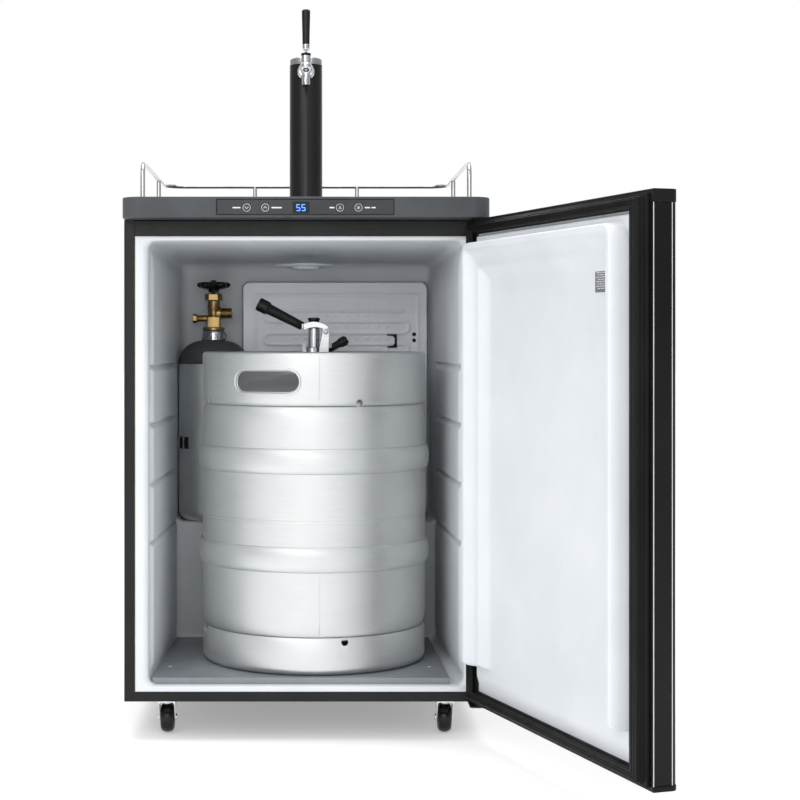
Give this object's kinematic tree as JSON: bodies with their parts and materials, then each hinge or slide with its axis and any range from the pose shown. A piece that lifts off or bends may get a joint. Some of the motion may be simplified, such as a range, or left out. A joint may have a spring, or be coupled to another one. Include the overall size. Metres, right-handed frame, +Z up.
{
  "type": "kegerator",
  "caption": "Free-standing black kegerator on casters with open door, white liner, steel keg, coupler, gas cylinder, guard rail and single-tap draft tower.",
  "frame": {"origin": "on the ground at the centre of the rectangle of the four swivel axes", "axes": "+X to the viewer's right, +Y from the door opening to the back, +Z up"},
  "size_m": [0.785, 1.1844, 1.256],
  "materials": {
    "black_steel": "fine-textured black enamel",
    "door_black": "gloss black enamel",
    "black_plastic": "satin",
    "coupler_black": "satin",
    "worktop_plastic": "fine-grained moulding",
    "fascia_plastic": "satin gloss",
    "display_glass": "dark window",
    "white_liner": "vacuum-formed, satin gloss",
    "foam": "rigid foam",
    "evaporator_aluminium": "matt roll-bond",
    "grey_steel": "grey coat",
    "compressor_black": "gloss black",
    "zinc_steel": "zinc plated",
    "chrome": "polished",
    "caster_chrome": "plated",
    "stainless": "brushed",
    "keg_steel": "satin stainless",
    "tower_black": "gloss black",
    "gasket_rubber": "soft, ribbed",
    "caster_tyre": "hard rubber tread",
    "cylinder_aluminium": "brushed",
    "brass": "machined"
  },
  "bodies": {
    "cabinet": {"left_side_panel": "black_steel", "right_side_panel": "black_steel", "back_panel": "black_steel", "base_pan": "black_steel", "top_rail": "black_steel", "side_insulation": "foam", "rear_insulation": "foam", "top_insulation": "foam", "floor_insulation": "foam", "inner_liner": "white_liner", "port_caps": "white_liner", "evaporator_plate": "evaporator_aluminium", "floor_plate": "grey_steel", "compressor": "compressor_black", "condenser_coil": "compressor_black", "power_inlet": "black_plastic", "hinge_brackets": "black_steel", "caster_plates": "zinc_steel", "worktop": "worktop_plastic", "control_fascia": "fascia_plastic", "display_module": "display_glass", "guard_rail": "chrome", "tower_base": "tower_black", "tower_column": "tower_black", "tower_cap": "chrome", "tap_shank": "chrome", "faucet_body": "chrome", "faucet_bonnet": "black_plastic", "co2_cylinder": "cylinder_aluminium", "co2_valve": "brass"},
    "door": {"door_skin": "door_black", "door_end_caps": "black_plastic", "door_insulation": "foam", "door_liner": "white_liner", "door_gasket": "gasket_rubber"},
    "tap_lever": {"tap_lever": "chrome", "tap_handle": "black_plastic"},
    "faucet_plunger": {"faucet_plunger": "stainless"},
    "drip_tray": {"drip_tray": "stainless"},
    "drip_grille": {"drip_grille": "stainless"},
    "keg": {"keg_shell": "keg_steel", "keg_top_chime": "keg_steel", "keg_bottom_chime": "keg_steel", "keg_spear": "stainless", "coupler_body": "chrome"},
    "coupler_probe": {"coupler_probe": "coupler_black"},
    "coupler_lever": {"coupler_lever": "chrome"},
    "co2_handwheel": {"co2_handwheel": "black_plastic"},
    "key_down": {"key_down": "fascia_plastic"},
    "key_up": {"key_up": "fascia_plastic"},
    "key_unit": {"key_unit": "fascia_plastic"},
    "key_chill": {"key_chill": "fascia_plastic"},
    "caster_fork_fl": {"caster_fork_fl": "caster_chrome"},
    "caster_fork_fr": {"caster_fork_fr": "caster_chrome"},
    "caster_fork_rl": {"caster_fork_rl": "caster_chrome"},
    "caster_fork_rr": {"caster_fork_rr": "caster_chrome"},
    "caster_wheel_fl": {"caster_wheel_fl": "caster_tyre"},
    "caster_wheel_fr": {"caster_wheel_fr": "caster_tyre"},
    "caster_wheel_rl": {"caster_wheel_rl": "caster_tyre"},
    "caster_wheel_rr": {"caster_wheel_rr": "caster_tyre"}
  },
  "joints": [
    {"name": "door_hinge", "type": "hinge", "parent": "cabinet", "child": "door", "pos_m": [0.284, -0.32, 0.464], "axis": [0, 0, 1], "range_deg": [-108, 12]},
    {"name": "tap_lever_pull", "type": "hinge", "parent": "cabinet", "child": "tap_lever", "pos_m": [0, -0.052, 1.172], "axis": [1, 0, 0], "range_deg": [0, 22]},
    {"name": "faucet_plunger_slide", "type": "slide", "parent": "cabinet", "child": "faucet_plunger", "axis": [0, 1, 0], "range_m": [0, 0.0064]},
    {"name": "keg_slide", "type": "slide", "parent": "cabinet", "child": "keg", "axis": [0, -1, 0], "range_m": [0, 0.2]},
    {"name": "coupler_lever_press", "type": "hinge", "parent": "keg", "child": "coupler_lever", "pos_m": [0.035, -0.077, 0.678], "axis": [0, -1, 0], "range_deg": [0, 30]},
    {"name": "coupler_probe_slide", "type": "slide", "parent": "keg", "child": "coupler_probe", "axis": [0, 0, -1], "range_m": [0, 0.0125]},
    {"name": "co2_valve_turn", "type": "hinge", "parent": "cabinet", "child": "co2_handwheel", "pos_m": [-0.177, 0.163, 0.768], "axis": [0, 0, 1], "range_deg": [0, 540]},
    {"name": "drip_tray_lift", "type": "slide", "parent": "cabinet", "child": "drip_tray", "axis": [0, 0, 1], "range_m": [0, 0.05]},
    {"name": "drip_grille_lift", "type": "slide", "parent": "drip_tray", "child": "drip_grille", "axis": [0, 0, 1], "range_m": [0, 0.03]},
    {"name": "key_down_press", "type": "slide", "parent": "cabinet", "child": "key_down", "axis": [0, 1, 0], "range_m": [0, 0.001], "stiffness_N_per_m": 600},
    {"name": "key_up_press", "type": "slide", "parent": "cabinet", "child": "key_up", "axis": [0, 1, 0], "range_m": [0, 0.001], "stiffness_N_per_m": 600},
    {"name": "key_unit_press", "type": "slide", "parent": "cabinet", "child": "key_unit", "axis": [0, 1, 0], "range_m": [0, 0.001], "stiffness_N_per_m": 600},
    {"name": "key_chill_press", "type": "slide", "parent": "cabinet", "child": "key_chill", "axis": [0, 1, 0], "range_m": [0, 0.001], "stiffness_N_per_m": 600},
    {"name": "caster_swivel_fl", "type": "hinge", "parent": "cabinet", "child": "caster_fork_fl", "pos_m": [-0.234, -0.232, 0.058], "axis": [0, 0, 1], "continuous": true},
    {"name": "caster_spin_fl", "type": "hinge", "parent": "caster_fork_fl", "child": "caster_wheel_fl", "pos_m": [-0.234, -0.214, 0.025], "axis": [1, 0, 0], "continuous": true},
    {"name": "caster_swivel_fr", "type": "hinge", "parent": "cabinet", "child": "caster_fork_fr", "pos_m": [0.234, -0.232, 0.058], "axis": [0, 0, 1], "continuous": true},
    {"name": "caster_spin_fr", "type": "hinge", "parent": "caster_fork_fr", "child": "caster_wheel_fr", "pos_m": [0.234, -0.214, 0.025], "axis": [1, 0, 0], "continuous": true},
    {"name": "caster_swivel_rl", "type": "hinge", "parent": "cabinet", "child": "caster_fork_rl", "pos_m": [-0.234, 0.232, 0.058], "axis": [0, 0, 1], "continuous": true},
    {"name": "caster_spin_rl", "type": "hinge", "parent": "caster_fork_rl", "child": "caster_wheel_rl", "pos_m": [-0.234, 0.25, 0.025], "axis": [1, 0, 0], "continuous": true},
    {"name": "caster_swivel_rr", "type": "hinge", "parent": "cabinet", "child": "caster_fork_rr", "pos_m": [0.234, 0.232, 0.058], "axis": [0, 0, 1], "continuous": true},
    {"name": "caster_spin_rr", "type": "hinge", "parent": "caster_fork_rr", "child": "caster_wheel_rr", "pos_m": [0.234, 0.25, 0.025], "axis": [1, 0, 0], "continuous": true}
  ],
  "couplings": [
    {"joint": "faucet_plunger_slide", "follows": "tap_lever_pull", "m_per_rad": 0.0157},
    {"joint": "coupler_probe_slide", "follows": "coupler_lever_press", "m_per_rad": 0.023}
  ]
}
